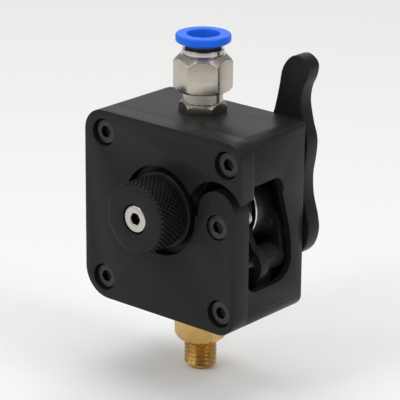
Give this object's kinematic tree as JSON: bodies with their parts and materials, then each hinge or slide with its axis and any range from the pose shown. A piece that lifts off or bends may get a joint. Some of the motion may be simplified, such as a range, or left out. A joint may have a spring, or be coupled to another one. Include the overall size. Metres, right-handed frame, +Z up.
{
  "type": "extruder gear assembly",
  "caption": "Compact Bowden extruder: black housing with a knurled hand knob, a hobbed drive gear, a sprung idler arm, a release lever, a push-fit inlet and a brass outlet.",
  "frame": {"origin": "centre of the motor mount, on the housing's flat back face", "axes": "+X to the right seen from the knob, +Y out of the back towards the motor, +Z up along the filament path towards the tube inlet"},
  "size_m": [0.0459, 0.0398, 0.08],
  "materials": {
    "anodised": "satin black anodised",
    "anodised_knob": "black anodised, diamond knurled",
    "anodised_lever": "satin black anodised",
    "anodised_arm": "black anodised",
    "black_steel": "black oxide",
    "steel": "turned",
    "polished_steel": "polished",
    "bearing_steel": "ground and polished",
    "hob_steel": "hardened, cut teeth",
    "spring_steel": "drawn wire",
    "bronze": "sintered bronze",
    "brass": "turned, bright",
    "nickel_brass": "nickel plated",
    "seal_rubber": "matt",
    "collet_plastic": "blue, semi-gloss",
    "guide_polymer": "natural"
  },
  "bodies": {
    "frame": {"main_body": "anodised", "cover_plate": "anodised", "cover_screws": "black_steel", "stop_screw": "black_steel", "stop_post": "steel", "arm_pivot_pin": "polished_steel", "knob_bush": "bronze", "lever_bush": "bronze", "front_bearing_outer": "bearing_steel", "rear_bearing_outer": "bearing_steel", "inlet_guide": "guide_polymer", "outlet_guide": "guide_polymer", "fitting_base": "nickel_brass", "fitting_hex_body": "nickel_brass", "fitting_sleeve": "nickel_brass", "tube_seal": "seal_rubber", "grip_ring": "spring_steel", "outlet_fitting": "brass", "outlet_washer": "steel", "arm_spring": "spring_steel"},
    "collet": {"release_collet": "collet_plastic"},
    "hand_knob": {"knob": "anodised_knob", "knob_screw": "polished_steel", "knob_shaft": "steel", "knob_pinion": "bronze"},
    "drive": {"drive_shaft": "steel", "drive_gear": "steel", "hob_gear": "hob_steel", "hob_set_screw": "black_steel", "front_bearing_inner": "bearing_steel", "rear_bearing_inner": "bearing_steel"},
    "front_ball_set": {"front_bearing_balls": "polished_steel"},
    "rear_ball_set": {"rear_bearing_balls": "polished_steel"},
    "arm": {"idler_arm": "anodised_arm", "arm_bush": "bronze", "idler_axle": "polished_steel", "idler_washers": "steel", "idler_inner_ring": "bearing_steel"},
    "idler_wheel": {"idler_outer_ring": "bearing_steel", "idler_shields": "steel"},
    "idler_ball_set": {"idler_balls": "polished_steel", "idler_cage": "bronze"},
    "lever": {"release_lever": "anodised_lever", "cam_shaft": "steel", "lever_washer": "steel", "lever_screw": "black_steel"}
  },
  "joints": [
    {"name": "knob_turn", "type": "hinge", "parent": "frame", "child": "hand_knob", "pos_m": [0.007, -0.0246, 0], "axis": [0, 1, 0], "continuous": true},
    {"name": "drive_turn", "type": "hinge", "parent": "frame", "child": "drive", "pos_m": [0, -0.0246, 0], "axis": [0, 1, 0], "continuous": true},
    {"name": "front_balls_roll", "type": "hinge", "parent": "frame", "child": "front_ball_set", "pos_m": [0, -0.0246, 0], "axis": [0, 1, 0], "continuous": true},
    {"name": "rear_balls_roll", "type": "hinge", "parent": "frame", "child": "rear_ball_set", "pos_m": [0, -0.0246, 0], "axis": [0, 1, 0], "continuous": true},
    {"name": "lever_turn", "type": "hinge", "parent": "frame", "child": "lever", "pos_m": [0.023, -0.0246, -0.0061], "axis": [0, 1, 0], "range_deg": [0, 60]},
    {"name": "arm_swing", "type": "hinge", "parent": "frame", "child": "arm", "pos_m": [0.0238, -0.0246, -0.0117], "axis": [0, 1, 0], "range_deg": [0, 7.5], "stiffness_Nm_per_rad": 0.05, "springref_deg": -34.38},
    {"name": "idler_spin", "type": "hinge", "parent": "arm", "child": "idler_wheel", "pos_m": [0.0163, -0.0246, 0], "axis": [0, 1, 0], "continuous": true},
    {"name": "idler_balls_roll", "type": "hinge", "parent": "arm", "child": "idler_ball_set", "pos_m": [0.0163, -0.0246, 0], "axis": [0, 1, 0], "continuous": true},
    {"name": "collet_press", "type": "slide", "parent": "frame", "child": "collet", "axis": [0, 0, 1], "range_m": [-0.0005, 0], "stiffness_N_per_m": 500}
  ],
  "couplings": [
    {"joint": "drive_turn", "follows": "knob_turn", "ratio": -0.75},
    {"joint": "front_balls_roll", "follows": "knob_turn", "ratio": -0.33635},
    {"joint": "rear_balls_roll", "follows": "knob_turn", "ratio": -0.34661},
    {"joint": "arm_swing", "follows": "lever_turn", "ratio": 0.125},
    {"joint": "idler_balls_roll", "follows": "idler_spin", "ratio": 0.59001}
  ]
}
